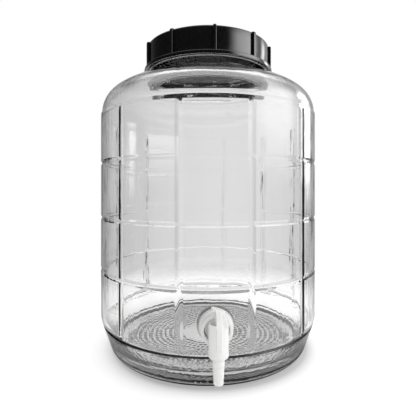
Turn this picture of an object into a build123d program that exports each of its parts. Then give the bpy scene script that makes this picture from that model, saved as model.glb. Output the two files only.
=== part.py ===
"""Wide-mouth glass carboy with a black screw cap and a white turning spigot.

Millimetres, +Z up. The origin is on the jar's axis, on the surface that it stands on.
The spigot faces -Y.
"""

import os
from math import asin, cos, degrees, pi, radians, sin, sqrt

from build123d import *

# ---------------------------------------------------------------- driving sizes: the glass jar
BODY_R = 141.0             # outside radius of the straight wall
WALL = 5.5                 # glass thickness in the wall and shoulder
FLOOR = 9.0                # glass thickness in the floor
PUNT = 4.0                 # height of the hollow under the base
CONTACT_R = 109.0          # inner radius of the ring that the jar stands on
FOOT_R = 125.0             # radius where the foot's taper would meet the table
FOOT_ROUND = 15.5          # radius of the foot's lower corner
LEDGE_Z = 40.0             # height of the sharp line between the foot and the wall
LEDGE_DEPTH = 2.2          # how far the foot stands inside the wall at that line
PANEL_TOP = 295.0          # height where the grid of panels ends
PANEL_STEP = 0.9           # how far the shoulder starts inside the panels
SHOULDER_LOW_R = 35.0      # arc that leaves the wall
SHOULDER_BREAK = 45.0      # angle at which the two arcs meet
NECK_R = 73.5              # outside radius of the neck
NECK_ROUND = 6.0           # hollow corner between the shoulder and the neck
NECK_WALL = 6.5            # glass thickness in the neck
RIM_Z = 387.0              # height of the rim

# the pressed grid
GROOVE_COUNT = 12          # upright grooves
GROOVE_WIDTH = 8.2
GROOVE_DEPTH = 1.1
GROOVE_END_GAP = 11.0      # from the ledge and from the panels' top to a groove's end
BAND_HEIGHTS = (105.0, 169.5, 237.5)
BAND_WIDTH = 5.5
BAND_DEPTH = 1.0

# ---------------------------------------------------------------- driving sizes: the neck's thread
THREAD_PITCH = 9.0
THREAD_DEPTH = 2.8
THREAD_ROOT = 4.2          # width at the glass
THREAD_CREST = 2.2         # width at its top
THREAD_TURNS = 1.25
THREAD_DROP = 6.5          # from the rim down to the middle of the thread's upper end
THREAD_GAP = 0.9           # room left between the two threads

# ---------------------------------------------------------------- driving sizes: the cap
CAP_WALL_R = 82.3          # outside radius of the plain wall
CAP_WALL = 3.4
CAP_HEIGHT = 30.4          # from the flange's foot to the top face
CAP_TOP = 3.0              # thickness of the top
CAP_ROUND = 2.0            # top edge
CAP_RECESS = 0.9           # sunk middle of the top
CAP_RECESS_R = 74.0
RIB_COUNT = 10
RIB_WIDTH = 3.7
RIB_R = 86.5               # outer face of the ribs
RIB_RISE = 1.0             # how far the ribs stand above the top face
RIB_ROOT = 1.0             # how far the ribs reach into the wall
RIB_ROUND = 1.6            # rounded top of the ribs
RIB_START = 279.65         # direction of the first rib, anticlockwise from +X
FLANGE_R = 87.0
FLANGE_HEIGHT = 3.5
FLANGE_LIP = 1.8           # thickness of the flange's outer skirt
FLANGE_WEB = 1.4           # thickness of the flange's top
UNDER_RING_R = 39.0        # ring moulded under the top
UNDER_RING_WIDTH = 2.0
UNDER_RING_DEPTH = 1.0
LINER_THICK = 2.0
LINER_WIDTH = 13.0
LINER_GAP = 0.3            # room round the liner inside the cap
KEEPER_WIDTH = 2.2         # ring that keeps the liner in its place
KEEPER_DEPTH = 1.4         # how far it reaches into the mouth

# ---------------------------------------------------------------- driving sizes: the spigot
SPIGOT_Z = 70.5            # height of the spigot's axis
HOLE_R = 11.0              # hole through the glass
BOSS_R = 21.0              # flat ground round the hole
BOSS_FLAT = 1.0            # depth ground off the wall there
WASHER_R = 18.6
WASHER_THICK = 2.4
FLANGE_THICK = 2.2
SPIGOT_FLANGE_R = 17.5
CUP_R = 15.5
CUP_WALL = 2.4
CUP_DEPTH = 9.6            # from the flange to the cup's rim
SHANK_R = 10.2
SHANK_LENGTH = 30.0        # from the flange's back into the jar
SHANK_BORE = 7.0
SOCKET_WIDE_R = 8.2        # tapered socket, at the cup's floor
SOCKET_NARROW_R = 7.6      # tapered socket, at the web
SOCKET_LENGTH = 17.0
WEB_THICK = 2.0
PORT_R = 2.6               # hole through the web and through the plug's end
PORT_OFFSET = 4.2          # how far the ports lie below the axis
PLUG_GAP = 0.06            # running clearance round the plug
NUT_FLATS = 30.0
NUT_THICK = 7.0
NUT_FLANGE_R = 16.8
NUT_FLANGE = 1.8
NUT_GAP = 0.1              # between the shank and what is threaded on it
SEAT_GAP = 0.05            # between the inner washer and the round of the wall

# the tap
HUB_R = 12.4               # disc inside the cup
HUB_THICK = 2.4
HUB_GAP = 0.3              # between the hub and the cup's floor
SPOUT_OUT = 28.6           # from the glass to the spout's axis
SPOUT_R = 9.2
SPOUT_TOP = 13.9           # top of the spout above the spigot's axis
SPOUT_BELOW = 12.8         # straight part of the spout below the spigot's axis
SPOUT_SHOULDER = 4.5       # rounded shoulder under it
SPOUT_BORE = 3.3
TAIL_R = 5.5               # hose tail where it leaves the shoulder
TAIL_BARB_DROP = 5.9       # first barb, below the shoulder
TAIL_CONE_R = 5.0          # end of the cone above the second barb
TAIL_CONE = 10.2
TAIL_END_R = 4.7           # plain end of the tail
TAIL_END = 10.8
BARB = 0.35
ARM_R = 8.4                # round arm from the hub to the spout
LEVER_TOP = 25.0           # top of the lever above the spigot's axis
LEVER_THICK = 5.4
LEVER_FRONT = 6.2          # lever's front face, out from the spout's axis
LEVER_BACK = 12.0          # lever's back edge, in from the spout's axis
THUMB_WIDTH = 13.2
THUMB_DEPTH = 8.0
THUMB_THICK = 1.8
THUMB_TILT = 14.0          # roll of the thumb rest

# ---------------------------------------------------------------- worked-out sizes
INNER_R = BODY_R - WALL
FLOOR_TOP = PUNT + FLOOR
MOUTH_R = NECK_R - NECK_WALL
SHOULDER_R = BODY_R - PANEL_STEP
SHOULDER_TURN = radians(SHOULDER_BREAK)
SHOULDER_HIGH_R = (SHOULDER_R - NECK_R - SHOULDER_LOW_R * (1 - cos(SHOULDER_TURN))) / cos(SHOULDER_TURN)
SHOULDER_Z = PANEL_TOP + 2 * PANEL_STEP
SHOULDER_TOP = (SHOULDER_Z + SHOULDER_LOW_R * sin(SHOULDER_TURN)
                + SHOULDER_HIGH_R * (1 - sin(SHOULDER_TURN)))
LINER_TOP = RIM_Z + LINER_THICK
CAP_TOP_Z = LINER_TOP + CAP_TOP
CAP_FOOT_Z = CAP_TOP_Z - CAP_HEIGHT
CAP_BORE_R = CAP_WALL_R - CAP_WALL
LINER_R = CAP_BORE_R - LINER_GAP
LINER_INNER_R = LINER_R - LINER_WIDTH
RIB_HEIGHT = CAP_TOP_Z + RIB_RISE - CAP_FOOT_Z - FLANGE_HEIGHT / 2
THREAD_RISE = THREAD_PITCH * THREAD_TURNS
JAR_THREAD_LOW = RIM_Z - THREAD_DROP - THREAD_RISE
CAP_THREAD_LOW = JAR_THREAD_LOW - THREAD_PITCH / 2
SPOUT_Y = -BODY_R - SPOUT_OUT
TAIL_TOP = SPOUT_BELOW + SPOUT_SHOULDER
TAIL_BARB_1 = TAIL_TOP + TAIL_BARB_DROP
TAIL_BARB_2 = TAIL_BARB_1 + TAIL_CONE
TAIL_TIP = TAIL_BARB_2 + TAIL_END
BOSS_OUT = -BOSS_FLAT      # the ground face, measured out from the straight wall
FLANGE_BACK = BOSS_OUT + WASHER_THICK
FLANGE_FRONT = FLANGE_BACK + FLANGE_THICK
CUP_RIM = FLANGE_FRONT + CUP_DEPTH
WASHER_BACK = -WALL - WASHER_THICK   # inner washer's flat face
SHANK_END = FLANGE_BACK - SHANK_LENGTH
SOCKET_END = FLANGE_FRONT - SOCKET_LENGTH
WEB_END = SOCKET_END - WEB_THICK
PLUG_END = SOCKET_END + PLUG_GAP
HUB_OUT = FLANGE_FRONT + HUB_GAP

# local x runs out from the glass and local y runs up, from the spigot's axis at the wall
SPIGOT_SIDE = Plane(origin=(0, -BODY_R, SPIGOT_Z), x_dir=(0, -1, 0), z_dir=(-1, 0, 0))
SPIGOT_AXIS = Axis((0, -BODY_R, SPIGOT_Z), (0, -1, 0))


def across_spigot(out):
    """Plane square to the spigot's axis, a distance out from the glass; local y is up."""
    return Plane(origin=(0, -BODY_R - out, SPIGOT_Z), x_dir=(1, 0, 0), z_dir=(0, -1, 0))


def upright_plane(origin):
    """Upright plane through a point; local x is +X and local y is up."""
    return Plane(origin=origin, x_dir=(1, 0, 0), z_dir=(0, -1, 0))


def groove_radius(width, depth):
    """Radius of the round tool that cuts a groove of this width and depth."""
    return (width**2 / 4 + depth**2) / (2 * depth)


def thread_outline(side):
    """Thread section, from just inside the wall; side is 1 on the jar and -1 in the cap."""
    root = THREAD_ROOT / 2
    crest = THREAD_CREST / 2
    return [(-side, -side * root), (0, -side * root), (side * THREAD_DEPTH, -side * crest),
            (side * THREAD_DEPTH, side * crest), (0, side * root), (-side, side * root)]


def thumb_plane():
    """Plane of the thumb rest's underside, rolled about the spigot's axis."""
    middle = Plane(origin=(0, SPOUT_Y + LEVER_BACK - THUMB_DEPTH / 2, SPIGOT_Z + LEVER_TOP - THUMB_THICK / 2))
    return middle.rotated((0, THUMB_TILT, 0))


def shoulder_arcs(inset):
    """The shoulder's two arcs, moved inwards by inset; ends level, over the neck."""
    low = JernArc((SHOULDER_R - inset, SHOULDER_Z), (0, 1), SHOULDER_LOW_R - inset, SHOULDER_BREAK)
    high = JernArc(low @ 1, low % 1, SHOULDER_HIGH_R - inset, 90 - SHOULDER_BREAK)
    return low, high


# ---------------------------------------------------------------- the two halves of the thread
with BuildPart() as jar_thread:
    with BuildLine():
        jar_helix = Helix(THREAD_PITCH, THREAD_RISE, NECK_R, center=(0, 0, JAR_THREAD_LOW))
    with BuildSketch(upright_plane((NECK_R, 0, JAR_THREAD_LOW))):
        with BuildLine():
            Polyline(*thread_outline(1), close=True)
        make_face()
    sweep(path=jar_helix, is_frenet=True)

with BuildPart() as cap_thread:
    with BuildLine():
        cap_helix = Helix(THREAD_PITCH, THREAD_RISE, CAP_BORE_R, center=(0, 0, CAP_THREAD_LOW))
    with BuildSketch(upright_plane((CAP_BORE_R, 0, CAP_THREAD_LOW))):
        with BuildLine():
            Polyline(*thread_outline(-1), close=True)
        make_face()
    sweep(path=cap_helix, is_frenet=True)

# ---------------------------------------------------------------- glass jar
with BuildPart() as jar:
    with BuildSketch(Plane.XZ) as jar_section:
        # outside, from the middle of the base up to the shoulder
        with BuildLine():
            FilletPolyline(
                (0, PUNT),
                (CONTACT_R - 2 * PUNT, PUNT),
                (CONTACT_R, 0),
                (FOOT_R, 0),
                (BODY_R - LEDGE_DEPTH, LEDGE_Z - 1),
                (BODY_R - LEDGE_DEPTH - 0.8, LEDGE_Z),
                (BODY_R - LEDGE_DEPTH + 0.6, LEDGE_Z + 1),
                (BODY_R, LEDGE_Z + 8),
                (BODY_R, PANEL_TOP),
                (SHOULDER_R, SHOULDER_Z),
                radius=(6, 1.5, FOOT_ROUND, 0.6, 0.25, 0.6, 8, 0.8),
            )
            low, high = shoulder_arcs(0)
            inner_low, inner_high = shoulder_arcs(WALL)
            # neck, rim and mouth
            FilletPolyline(
                high @ 1,
                (NECK_R, RIM_Z),
                (MOUTH_R, RIM_Z),
                (MOUTH_R, SHOULDER_TOP - WALL),
                inner_high @ 1,
                radius=(2, 2.6, 6),
            )
            # inside, from the shoulder down to the floor
            FilletPolyline(
                inner_low @ 0,
                (INNER_R, SHOULDER_Z - 6),
                (INNER_R, FLOOR_TOP + 30),
                (FOOT_R - 4, FLOOR_TOP),
                (0, FLOOR_TOP),
                radius=(8, 22, 22),
            )
            Line((0, FLOOR_TOP), (0, PUNT))
        make_face()
        neck_corner = jar_section.vertices().sort_by_distance((NECK_R, SHOULDER_TOP))[0]
        fillet(neck_corner, radius=NECK_ROUND)
    revolve(axis=Axis.Z)

    # upright grooves, cut by a round-ended tool
    tool_r = groove_radius(GROOVE_WIDTH, GROOVE_DEPTH)
    groove_low = LEDGE_Z + GROOVE_END_GAP
    groove_high = PANEL_TOP - GROOVE_END_GAP
    with Locations((0, 0, groove_low)):
        with PolarLocations(BODY_R - GROOVE_DEPTH + tool_r, GROOVE_COUNT, start_angle=-90 + 180 / GROOVE_COUNT):
            Cylinder(tool_r, groove_high - groove_low, align=(Align.CENTER, Align.CENTER, Align.MIN),
                     mode=Mode.SUBTRACT)
            Sphere(tool_r, mode=Mode.SUBTRACT)
    with Locations((0, 0, groove_high)):
        with PolarLocations(BODY_R - GROOVE_DEPTH + tool_r, GROOVE_COUNT, start_angle=-90 + 180 / GROOVE_COUNT):
            Sphere(tool_r, mode=Mode.SUBTRACT)
    # level grooves
    band_tool_r = groove_radius(BAND_WIDTH, BAND_DEPTH)
    with BuildSketch(Plane.XZ):
        for height in BAND_HEIGHTS:
            with Locations((BODY_R - BAND_DEPTH + band_tool_r, height)):
                Circle(band_tool_r)
    revolve(axis=Axis.Z, mode=Mode.SUBTRACT)
    # flat ground on the wall round the spigot's hole, and the hole
    with BuildSketch(across_spigot(BOSS_OUT)):
        Circle(BOSS_R)
    extrude(amount=2 * BOSS_FLAT, mode=Mode.SUBTRACT)
    with BuildSketch(across_spigot(2 * BOSS_FLAT)):
        Circle(HOLE_R)
    extrude(amount=-2 * WALL - 2 * BOSS_FLAT, mode=Mode.SUBTRACT)
    add(jar_thread.part)
jar.part.label = "glass_jar"

# ---------------------------------------------------------------- screw cap
with BuildPart() as rib:
    with BuildSketch(Plane.XZ) as rib_side:
        with Locations((CAP_WALL_R - RIB_ROOT, CAP_FOOT_Z + FLANGE_HEIGHT / 2)):
            Rectangle(RIB_R - CAP_WALL_R + RIB_ROOT, RIB_HEIGHT, align=(Align.MIN, Align.MIN))
        fillet(rib_side.vertices().group_by(Axis.Y)[-1], radius=RIB_ROUND)
    extrude(amount=RIB_WIDTH / 2, both=True)

with BuildPart() as cap_shell:
    with BuildSketch(Plane.XZ) as cap_section:
        # wall and top
        with BuildLine():
            FilletPolyline(
                (0, CAP_TOP_Z - CAP_RECESS),
                (CAP_RECESS_R - CAP_RECESS, CAP_TOP_Z - CAP_RECESS),
                (CAP_RECESS_R, CAP_TOP_Z),
                (CAP_WALL_R, CAP_TOP_Z),
                (CAP_WALL_R, CAP_FOOT_Z + FLANGE_HEIGHT),
                (FLANGE_R, CAP_FOOT_Z + FLANGE_HEIGHT),
                (FLANGE_R, CAP_FOOT_Z),
                (FLANGE_R - FLANGE_LIP, CAP_FOOT_Z),
                (FLANGE_R - FLANGE_LIP, CAP_FOOT_Z + FLANGE_HEIGHT - FLANGE_WEB),
                (CAP_WALL_R, CAP_FOOT_Z + FLANGE_HEIGHT - FLANGE_WEB),
                (CAP_WALL_R, CAP_FOOT_Z),
                (CAP_BORE_R, CAP_FOOT_Z),
                (CAP_BORE_R, LINER_TOP),
                (LINER_INNER_R - LINER_GAP, LINER_TOP),
                (LINER_INNER_R - LINER_GAP, RIM_Z - KEEPER_DEPTH),
                (LINER_INNER_R - LINER_GAP - KEEPER_WIDTH, RIM_Z - KEEPER_DEPTH),
                (LINER_INNER_R - LINER_GAP - KEEPER_WIDTH, LINER_TOP),
                (UNDER_RING_R + UNDER_RING_WIDTH / 2, LINER_TOP),
                (UNDER_RING_R + UNDER_RING_WIDTH / 2, LINER_TOP - UNDER_RING_DEPTH),
                (UNDER_RING_R - UNDER_RING_WIDTH / 2, LINER_TOP - UNDER_RING_DEPTH),
                (UNDER_RING_R - UNDER_RING_WIDTH / 2, LINER_TOP),
                (0, LINER_TOP),
                radius=(0, 0, CAP_ROUND, 0.6, 0.6, 0.4, 0.4, 0, 0, 0.4, 0.4, 0, 0, 0.4, 0.4, 0, 0, 0.3, 0.3, 0),
            )
            Line((0, LINER_TOP), (0, CAP_TOP_Z - CAP_RECESS))
        make_face()
    revolve(axis=Axis.Z)
    with PolarLocations(0, RIB_COUNT, start_angle=RIB_START):
        add(rib.part)

# the inside thread, half a pitch under the jar's, is fused outside the builder's context
threaded_cap = cap_shell.part + cap_thread.part
with BuildPart() as cap:
    add(threaded_cap)
cap.part.label = "screw_cap"

# ---------------------------------------------------------------- cap liner
with BuildPart() as liner:
    with BuildSketch(Plane.XY.offset(RIM_Z)):
        Circle(LINER_R)
        Circle(LINER_INNER_R, mode=Mode.SUBTRACT)
    extrude(amount=LINER_THICK)
liner.part.label = "cap_liner"

# ---------------------------------------------------------------- spigot body
with BuildPart() as body:
    with BuildSketch(SPIGOT_SIDE) as body_section:
        with BuildLine():
            FilletPolyline(
                (SHANK_END, SHANK_BORE),
                (SHANK_END, SHANK_R),
                (FLANGE_BACK, SHANK_R),
                (FLANGE_BACK, SPIGOT_FLANGE_R),
                (FLANGE_FRONT, SPIGOT_FLANGE_R),
                (FLANGE_FRONT, CUP_R),
                (CUP_RIM, CUP_R),
                (CUP_RIM, CUP_R - CUP_WALL),
                (FLANGE_FRONT, CUP_R - CUP_WALL),
                (FLANGE_FRONT, SOCKET_WIDE_R),
                (SOCKET_END, SOCKET_NARROW_R),
                (SOCKET_END, 0),
                (WEB_END, 0),
                (WEB_END, SHANK_BORE),
                close=True,
                radius=(0, 1.0, 0, 0.5, 0.8, 0.6, 0.7, 0.7, 0.6, 0.5, 0, 0, 0, 0),
            )
        make_face()
    revolve(axis=SPIGOT_AXIS)
    with BuildSketch(across_spigot(SOCKET_END)):
        with Locations((0, -PORT_OFFSET)):
            Circle(PORT_R)
    extrude(amount=-WEB_THICK, mode=Mode.SUBTRACT)
body.part.label = "spigot_body"

# ---------------------------------------------------------------- washers and nut
with BuildPart() as outer_washer:
    with BuildSketch(across_spigot(BOSS_OUT)):
        Circle(WASHER_R)
        Circle(SHANK_R + NUT_GAP, mode=Mode.SUBTRACT)
    extrude(amount=WASHER_THICK)
outer_washer.part.label = "outer_washer"

with BuildPart() as inner_washer:
    with BuildSketch(across_spigot(WASHER_BACK)):
        Circle(WASHER_R)
        Circle(SHANK_R + NUT_GAP, mode=Mode.SUBTRACT)
    extrude(amount=WASHER_THICK + WALL)
    # its outer side is pressed to the round of the wall
    with BuildSketch(Plane.XY.offset(SPIGOT_Z - WASHER_R)):
        Circle(INNER_R - SEAT_GAP)
    extrude(amount=2 * WASHER_R, mode=Mode.INTERSECT)
inner_washer.part.label = "inner_washer"

with BuildPart() as nut:
    with BuildSketch(across_spigot(WASHER_BACK)):
        Circle(NUT_FLANGE_R)
    extrude(amount=-NUT_FLANGE)
    with BuildSketch(across_spigot(WASHER_BACK - NUT_FLANGE)):
        RegularPolygon(NUT_FLATS / 2, 6, major_radius=False)
    extrude(amount=NUT_FLANGE - NUT_THICK)
    with BuildSketch(across_spigot(WASHER_BACK)):
        Circle(SHANK_R + NUT_GAP)
    extrude(amount=-NUT_THICK, mode=Mode.SUBTRACT)
nut.part.label = "lock_nut"

# ---------------------------------------------------------------- spigot tap
with BuildPart() as tap:
    # plug and hub
    with BuildSketch(SPIGOT_SIDE):
        with BuildLine():
            FilletPolyline(
                (PLUG_END, 0),
                (PLUG_END, SOCKET_NARROW_R - PLUG_GAP),
                (HUB_OUT, SOCKET_WIDE_R - PLUG_GAP),
                (HUB_OUT, HUB_R),
                (HUB_OUT + HUB_THICK, HUB_R),
                (HUB_OUT + HUB_THICK, ARM_R),
                (SPOUT_OUT, ARM_R),
                (SPOUT_OUT, 0),
                close=True,
                radius=(0, 0.5, 0.3, 0.6, 0.6, 1.5, 0, 0),
            )
        make_face()
    revolve(axis=SPIGOT_AXIS)
    # spout, shoulder and stepped tail
    with BuildSketch(upright_plane((0, SPOUT_Y, SPIGOT_Z))) as spout_section:
        with BuildLine():
            FilletPolyline(
                (0, SPOUT_TOP),
                (SPOUT_R, SPOUT_TOP),
                (SPOUT_R, -SPOUT_BELOW),
                (TAIL_R, -TAIL_TOP),
                (TAIL_R, -TAIL_BARB_1),
                (TAIL_R - BARB, -TAIL_BARB_1),
                (TAIL_CONE_R, -TAIL_BARB_2),
                (TAIL_END_R, -TAIL_BARB_2),
                (TAIL_END_R, -TAIL_TIP),
                (0, -TAIL_TIP),
                radius=(1.0, 3.0, 0.8, 0.2, 0, 0.2, 0, 1.6),
            )
            Line((0, -TAIL_TIP), (0, SPOUT_TOP))
        make_face()
    revolve(axis=Axis((0, SPOUT_Y, SPIGOT_Z), (0, 0, 1)))
    # lever: an upright fin over the spout
    with BuildSketch(SPIGOT_SIDE):
        with BuildLine():
            Polyline(
                (SPOUT_OUT + LEVER_FRONT, 0),
                (SPOUT_OUT + LEVER_FRONT, SPOUT_TOP),
                (SPOUT_OUT - LEVER_FRONT / 2, LEVER_TOP),
                (SPOUT_OUT - LEVER_BACK, LEVER_TOP),
                (SPOUT_OUT - LEVER_BACK, 0),
                close=True,
            )
        make_face()
    extrude(amount=LEVER_THICK / 2, both=True)
    # thumb rest across its top
    with BuildSketch(thumb_plane()):
        SlotOverall(THUMB_WIDTH, THUMB_DEPTH)
    extrude(amount=THUMB_THICK)
    # way through: port, plug, arm and spout
    with BuildSketch(across_spigot(PLUG_END)):
        with Locations((0, -PORT_OFFSET)):
            Circle(PORT_R)
    extrude(amount=SPOUT_OUT - PLUG_END, mode=Mode.SUBTRACT)
    with BuildSketch(Plane((0, SPOUT_Y, SPIGOT_Z))):
        Circle(SPOUT_BORE)
    extrude(amount=-TAIL_TIP, mode=Mode.SUBTRACT)
tap.part.label = "spigot_tap"

# ---------------------------------------------------------------- files
os.makedirs("parts", exist_ok=True)
for piece in (jar, cap, liner, body, outer_washer, inner_washer, nut, tap):
    export_step(piece.part, f"parts/{piece.part.label}.step")
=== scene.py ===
"""Looks of a wide-mouth glass carboy with a black screw cap and a white turning spigot. Metres."""

import math

import bmesh
import bpy
import numpy as np
from mathutils import Matrix, Vector


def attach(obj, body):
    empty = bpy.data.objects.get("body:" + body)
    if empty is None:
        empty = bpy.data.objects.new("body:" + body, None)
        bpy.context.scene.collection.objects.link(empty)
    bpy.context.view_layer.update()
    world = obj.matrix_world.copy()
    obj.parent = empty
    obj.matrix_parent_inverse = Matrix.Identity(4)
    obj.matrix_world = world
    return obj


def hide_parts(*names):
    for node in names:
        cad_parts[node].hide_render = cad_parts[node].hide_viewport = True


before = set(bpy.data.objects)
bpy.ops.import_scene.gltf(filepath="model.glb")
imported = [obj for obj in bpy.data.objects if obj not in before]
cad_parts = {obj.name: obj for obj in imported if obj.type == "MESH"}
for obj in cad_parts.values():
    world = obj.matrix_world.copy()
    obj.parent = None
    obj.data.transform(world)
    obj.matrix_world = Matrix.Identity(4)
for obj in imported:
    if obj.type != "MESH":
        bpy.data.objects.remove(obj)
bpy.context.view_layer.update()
scene = bpy.context.scene
MM = 0.001

# ------------------------------------------------------------------ camera
CAMERA_DISTANCE = 0.4864      # from the jar's axis
CAMERA_HEIGHT = 0.2036
CAMERA_TURN = math.radians(-3.2)
LENS = 30.55                  # mm, on a 36 mm sensor
HORIZON_RISE = 0.043          # how far the horizon lies above the middle of the frame


def make_camera():
    data = bpy.data.cameras.new("camera")
    data.lens = LENS
    data.sensor_width = 36
    data.shift_y = -HORIZON_RISE
    camera = bpy.data.objects.new("camera", data)
    camera.location = (CAMERA_DISTANCE * math.sin(CAMERA_TURN), -CAMERA_DISTANCE * math.cos(CAMERA_TURN),
                       CAMERA_HEIGHT)
    camera.rotation_euler = (math.pi / 2, 0, CAMERA_TURN)
    scene.collection.objects.link(camera)
    scene.camera = camera


# ------------------------------------------------------------------ sizes of the jar, mm
BODY_R, WALL, INNER_R = 141.0, 5.5, 135.5
PUNT, FLOOR_TOP = 4.0, 13.0
CONTACT_R, FOOT_R = 109.0, 126.0
LEDGE_Z, LEDGE_DEPTH, LEDGE_NOTCH, LEDGE_ROUND = 38.5, 2.4, 0.8, 8.0
PANEL_TOP, PANEL_STEP = 299.0, 1.3
SHOULDER_R, SHOULDER_Z = BODY_R - PANEL_STEP, 301.6
SHOULDER_LOW_R, SHOULDER_BREAK = 35.5, math.radians(55.3)
NECK_R, MOUTH_R = 75.0, 68.5
SHOULDER_HIGH_R = ((SHOULDER_R - NECK_R - SHOULDER_LOW_R * (1 - math.cos(SHOULDER_BREAK)))
                   / math.cos(SHOULDER_BREAK))
SHOULDER_TOP = (SHOULDER_Z + SHOULDER_LOW_R * math.sin(SHOULDER_BREAK)
                + SHOULDER_HIGH_R * (1 - math.sin(SHOULDER_BREAK)))
RIM_Z = SHOULDER_TOP + 42.4
GROOVE_COUNT, GROOVE_WIDTH, GROOVE_DEPTH, GROOVE_END_GAP = 12, 8.2, 1.1, 11.0
BAND_HEIGHTS, BAND_WIDTH, BAND_DEPTH = (105.0, 169.5, 237.5), 5.5, 1.0
GROOVE_EDGE = 0.25            # rounding of the grooves' edges, by fire polishing
GROOVE_TAPER = 0.42           # how steeply a groove runs out at its ends
THREAD_PITCH, THREAD_DEPTH, THREAD_ROOT, THREAD_CREST, THREAD_TURNS = 9.0, 2.8, 4.2, 2.2, 1.25
THREAD_RUN_IN = math.radians(9)
JAR_THREAD_LOW = RIM_Z - 6.5 - THREAD_PITCH * THREAD_TURNS
SPIGOT_Z, HOLE_R, BOSS_R, BOSS_FLAT = 70.5, 11.0, 17.5, 1.0
INSIDE_WAVE = 0.13            # unevenness of the blown inside


# ------------------------------------------------------------------ mesh helpers
def fillet_line(points, radii, step=14.0):
    """Points along a line in (radius, height) whose inner corners are rounded; step is degrees per point."""
    line = [np.array(points[0], float)]
    for before, corner, after, radius in zip(points, points[1:], points[2:], radii):
        before, corner, after = (np.array(p, float) for p in (before, corner, after))
        into = (before - corner) / np.linalg.norm(before - corner)
        out = (after - corner) / np.linalg.norm(after - corner)
        half = math.acos(max(-1, min(1, float(into @ out)))) / 2
        if radius <= 0 or half > math.pi / 2 - 1e-4:
            line.append(corner)
            continue
        reach = radius / math.tan(half)
        middle = corner + (into + out) / np.linalg.norm(into + out) * radius / math.sin(half)
        start = corner + into * reach - middle
        finish = corner + out * reach - middle
        turn = math.pi - 2 * half
        side = math.copysign(1, start[0] * finish[1] - start[1] * finish[0])
        count = max(3, math.ceil(math.degrees(turn) / step))
        for i in range(count + 1):
            a = side * turn * i / count
            line.append(middle + (start[0] * math.cos(a) - start[1] * math.sin(a),
                                  start[0] * math.sin(a) + start[1] * math.cos(a)))
    line.append(np.array(points[-1], float))
    return line


def divide(line, longest):
    """The same line with every run cut to pieces no longer than longest."""
    out = [line[0]]
    for a, b in zip(line, line[1:]):
        count = max(1, math.ceil(np.linalg.norm(b - a) / longest))
        out += [a + (b - a) * i / count for i in range(1, count + 1)]
    return out


def shoulder_line(inset, upwards=True):
    """The two arcs of the shoulder, moved inwards by inset, as (radius, height) points."""
    low_r, high_r = SHOULDER_LOW_R - inset, SHOULDER_HIGH_R - inset
    low_middle = np.array((SHOULDER_R - SHOULDER_LOW_R, SHOULDER_Z))
    high_middle = low_middle + (SHOULDER_LOW_R - SHOULDER_HIGH_R) * np.array(
        (math.cos(SHOULDER_BREAK), math.sin(SHOULDER_BREAK)))
    line = [low_middle + low_r * np.array((math.cos(a), math.sin(a)))
            for a in np.linspace(0, SHOULDER_BREAK, 10)]
    line += [high_middle + high_r * np.array((math.cos(a), math.sin(a)))
             for a in np.linspace(SHOULDER_BREAK, math.pi / 2, 10)[1:]]
    return line if upwards else line[::-1]


def grid_faces(rings, columns, first=0):
    """Quads between rings of equal count, closed round."""
    a = first + np.arange(rings - 1)[:, None] * columns + np.arange(columns)[None, :]
    b = first + np.arange(rings - 1)[:, None] * columns + (np.arange(columns)[None, :] + 1) % columns
    return np.stack((a, b, b + columns, a + columns), -1).reshape(-1, 4).tolist()


def make_object(name, points, faces, sharp=math.radians(38)):
    """A mesh object from points in mm, its faces outward, smooth up to the sharp angle."""
    mesh = bpy.data.meshes.new(name)
    mesh.from_pydata((np.asarray(points, float) * MM).tolist(), [], faces)
    made = bpy.data.objects.new(name, mesh)
    scene.collection.objects.link(made)
    finish_mesh(mesh, sharp)
    return made


def finish_mesh(mesh, sharp):
    """Merges doubles, turns faces outward and marks edges past the sharp angle."""
    work = bmesh.new()
    work.from_mesh(mesh)
    bmesh.ops.remove_doubles(work, verts=work.verts, dist=2e-6)
    bmesh.ops.recalc_face_normals(work, faces=work.faces)
    for face in work.faces:
        face.smooth = True
    for edge in work.edges:
        edge.smooth = not (edge.is_manifold and edge.calc_face_angle(0) > sharp)
    work.to_mesh(mesh)
    work.free()
    mesh.update()


def lathe(name, line, columns=128, closed=True, sharp=math.radians(30)):
    """Turns a line of (radius, height) points round the Z axis; a radius of 0 makes a pole."""
    turn = np.linspace(0, 2 * math.pi, columns, endpoint=False)
    points, faces, rows = [], [], []
    for radius, height in line:
        if radius < 1e-6:
            rows.append([len(points)])
            points.append((0, 0, height))
        else:
            rows.append(list(range(len(points), len(points) + columns)))
            points += [(radius * math.cos(a), radius * math.sin(a), height) for a in turn]
    pairs = list(zip(rows, rows[1:])) + ([(rows[-1], rows[0])] if closed else [])
    for low, high in pairs:
        for i in range(columns):
            j = (i + 1) % columns
            if len(low) == 1 and len(high) == 1:
                break
            if len(low) == 1:
                faces.append((low[0], high[j], high[i]))
            elif len(high) == 1:
                faces.append((low[i], low[j], high[0]))
            else:
                faces.append((low[i], low[j], high[j], high[i]))
    return make_object(name, points, faces, sharp)


def smooth_copy(node, name, sharp=math.radians(32)):
    """The node's own shape as one closed mesh with smooth shading."""
    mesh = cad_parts[node].data.copy()
    mesh.name = name
    mesh.materials.clear()
    if mesh.has_custom_normals:
        mesh.attributes.remove(mesh.attributes["custom_normal"])
    made = bpy.data.objects.new(name, mesh)
    scene.collection.objects.link(made)
    finish_mesh(mesh, sharp)
    return made


def applied(made):
    """The object with its modifiers made part of its mesh."""
    bpy.context.view_layer.update()
    shape = bpy.data.meshes.new_from_object(made.evaluated_get(bpy.context.evaluated_depsgraph_get()))
    made.modifiers.clear()
    made.data = shape
    return made


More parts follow.
